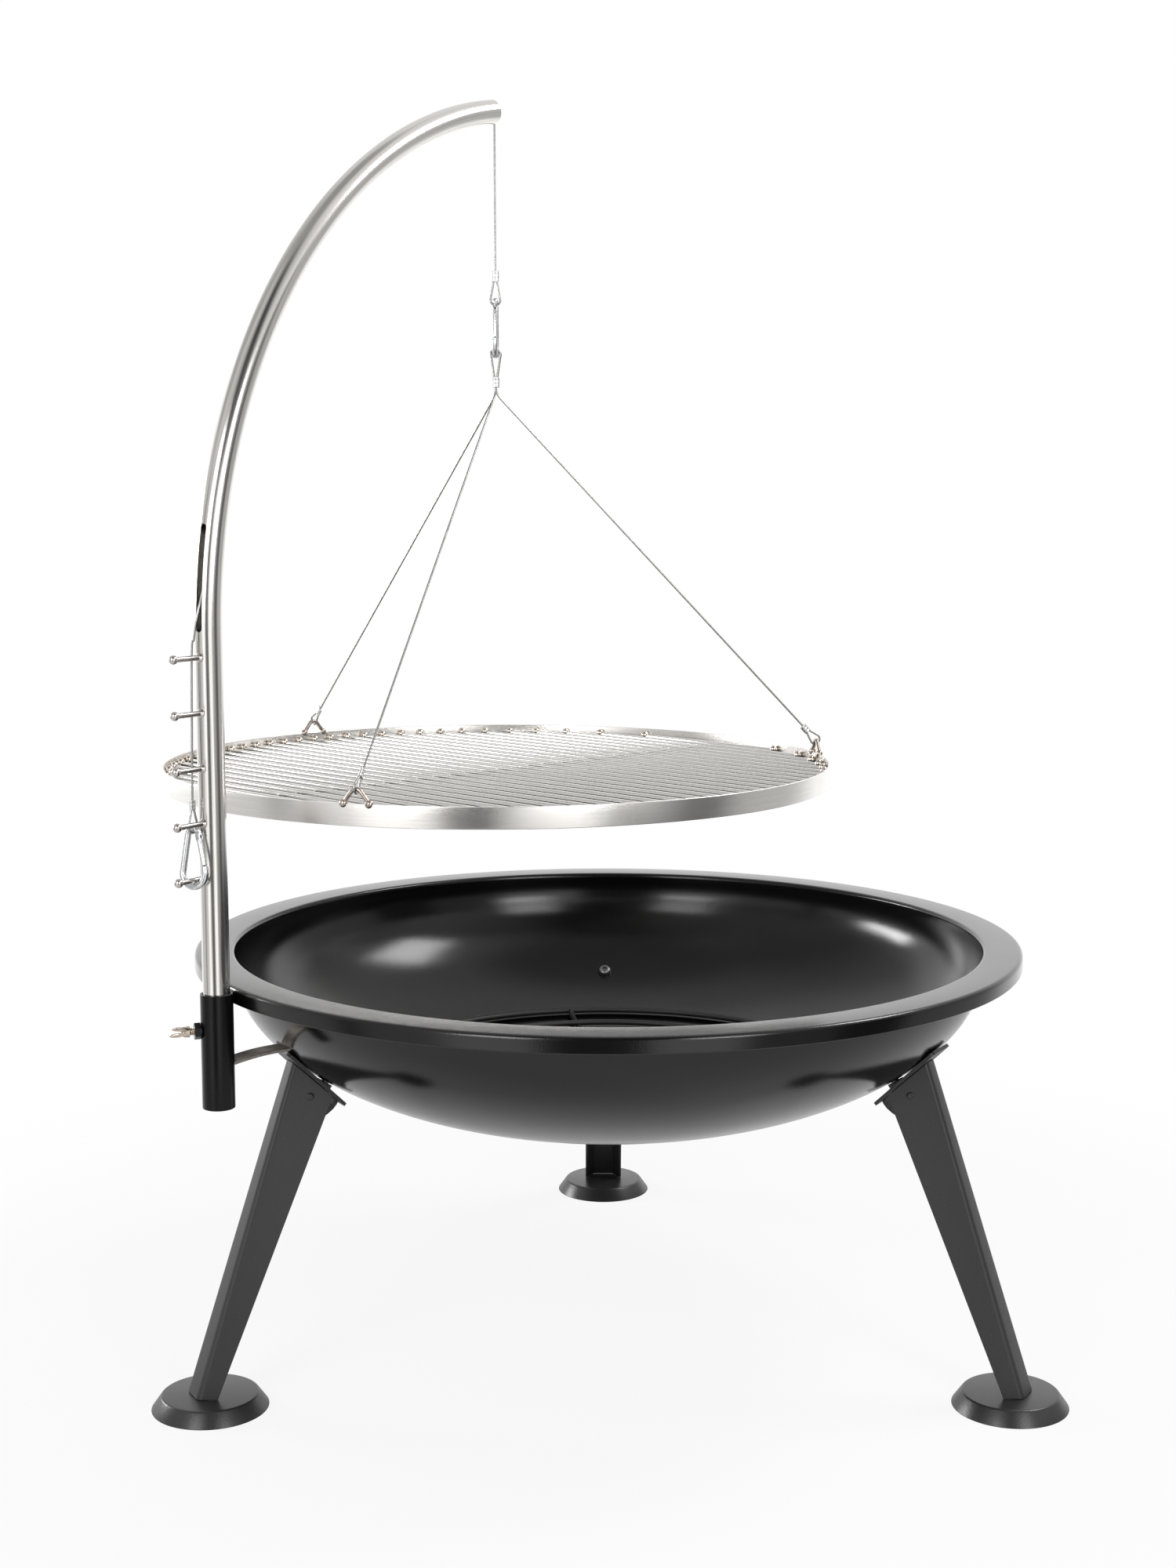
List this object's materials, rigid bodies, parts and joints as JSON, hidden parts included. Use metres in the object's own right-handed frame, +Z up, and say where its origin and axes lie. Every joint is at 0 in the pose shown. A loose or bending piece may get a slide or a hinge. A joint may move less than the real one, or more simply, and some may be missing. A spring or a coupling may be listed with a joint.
{
  "type": "tripod swing grill",
  "caption": "Fire bowl on folded sheet legs, with a curved pole in a side sleeve that hangs a round rod grate from a wire rope.",
  "frame": {"origin": "bottom centre of the whole object's bounding box, on the ground that the feet stand on", "axes": "+Z up; the picture looks along +Y with +X to the right, the pole's sleeve at the left and the rear leg behind"},
  "size_m": [0.8736, 0.8738, 1.2073],
  "materials": {
    "black_paint": "black heat-proof paint, half gloss, on folded and pressed steel sheet",
    "stainless": "stainless steel, polished on the pole and brushed on the grate",
    "zinc_steel": "bright zinc-plated steel",
    "wire_rope": "laid stainless wire rope",
    "ferrule_aluminium": "crimped aluminium, satin",
    "burnt_wire": "dull black steel wire"
  },
  "bodies": {
    "stand": {"fire_bowl": "black_paint", "leg_rear": "black_paint", "leg_left": "black_paint", "leg_right": "black_paint", "foot_rear": "black_paint", "foot_left": "black_paint", "foot_right": "black_paint", "mount_plate_rear": "black_paint", "mount_plate_left": "black_paint", "mount_plate_right": "black_paint", "bowl_bolt_rear": "zinc_steel", "bowl_bolt_left": "zinc_steel", "bowl_bolt_right": "zinc_steel", "bolt_nut_rear": "zinc_steel", "bolt_nut_left": "zinc_steel", "bolt_nut_right": "zinc_steel", "rivet_rear_a": "black_paint", "rivet_rear_b": "black_paint", "rivet_left_a": "black_paint", "rivet_left_b": "black_paint", "rivet_right_a": "black_paint", "rivet_right_b": "black_paint", "charcoal_grate": "burnt_wire", "pole_sleeve": "black_paint", "sleeve_floor": "black_paint", "sleeve_brace": "black_paint", "clamp_nut": "black_paint"},
    "screw_shank": {"wing_screw_shank": "zinc_steel"},
    "screw_wings": {"wing_screw_head": "zinc_steel"},
    "pole": {"pole_tube": "stainless", "hook_peg_1": "stainless", "hook_peg_2": "stainless", "hook_peg_3": "stainless", "hook_peg_4": "stainless", "hook_peg_5": "stainless", "rope_run": "wire_rope", "tail_wire": "wire_rope"},
    "drop": {"drop_wire": "wire_rope"},
    "rope_end": {"upper_ferrule": "ferrule_aluminium"},
    "rope_eye": {"upper_loop": "wire_rope"},
    "hanging_grate": {"upper_carabiner": "zinc_steel", "bridle_top_eye_front_left": "wire_rope", "bridle_top_eye_right": "wire_rope", "bridle_top_eye_rear_left": "wire_rope", "bridle_wire_front_left": "wire_rope", "bridle_wire_right": "wire_rope", "bridle_wire_rear_left": "wire_rope", "bridle_end_eye_front_left": "wire_rope", "bridle_end_eye_right": "wire_rope", "bridle_end_eye_rear_left": "wire_rope", "bail_front_left": "stainless", "bail_right": "stainless", "bail_rear_left": "stainless", "grate_band": "stainless", "grate_bars": "stainless"},
    "upper_gate": {"upper_gate": "zinc_steel"},
    "tail": {"tail_eye": "wire_rope", "lower_carabiner": "zinc_steel"},
    "lower_gate": {"lower_gate": "zinc_steel"}
  },
  "joints": [
    {"name": "screw_travel", "type": "slide", "parent": "stand", "child": "screw_shank", "axis": [-0.9511, -0.309, 0], "range_m": [0, 0.005]},
    {"name": "wing_turn", "type": "hinge", "parent": "screw_shank", "child": "screw_wings", "pos_m": [-0.32809, -0.26765, 0.355], "axis": [-0.9511, -0.309, 0], "range_deg": [0, 1440]},
    {"name": "pole_swivel", "type": "hinge", "parent": "stand", "child": "pole", "pos_m": [-0.32809, -0.26765, 0.2891], "axis": [0, 0, 1], "continuous": true},
    {"name": "rope_sway", "type": "hinge", "parent": "pole", "child": "drop", "pos_m": [-0.09677, 0.08051, 1.1777], "axis": [0, 1, 0], "range_deg": [-4, 4]},
    {"name": "hoist", "type": "slide", "parent": "drop", "child": "rope_end", "axis": [0, 0, 1], "range_m": [0, 0.008], "deforming": ["drop_wire"]},
    {"name": "grate_spin", "type": "hinge", "parent": "rope_end", "child": "rope_eye", "pos_m": [-0.09677, 0.08051, 1.0325], "axis": [0, 0, 1], "continuous": true},
    {"name": "hook_sway", "type": "hinge", "parent": "rope_eye", "child": "hanging_grate", "pos_m": [-0.09677, 0.08051, 1.0097], "axis": [1, 0, 0], "range_deg": [-3, 3]},
    {"name": "upper_gate_hinge", "type": "hinge", "parent": "hanging_grate", "child": "upper_gate", "pos_m": [-0.09677, 0.07474, 1.00751], "axis": [1, 0, 0], "range_deg": [0, 20], "stiffness_Nm_per_rad": 0.05},
    {"name": "tail_pull", "type": "slide", "parent": "pole", "child": "tail", "axis": [0, 0, 1], "range_m": [-0.008, 0], "deforming": ["tail_wire"]},
    {"name": "lower_gate_hinge", "type": "hinge", "parent": "tail", "child": "lower_gate", "pos_m": [-0.33802, -0.28168, 0.53112], "axis": [0.4484, 0.88, -0.1564], "range_deg": [0, 10], "stiffness_Nm_per_rad": 0.05}
  ],
  "couplings": [
    {"joint": "wing_turn", "follows": "screw_travel", "rad_per_m": 5026.5},
    {"joint": "tail_pull", "follows": "hoist", "ratio": -1}
  ]
}
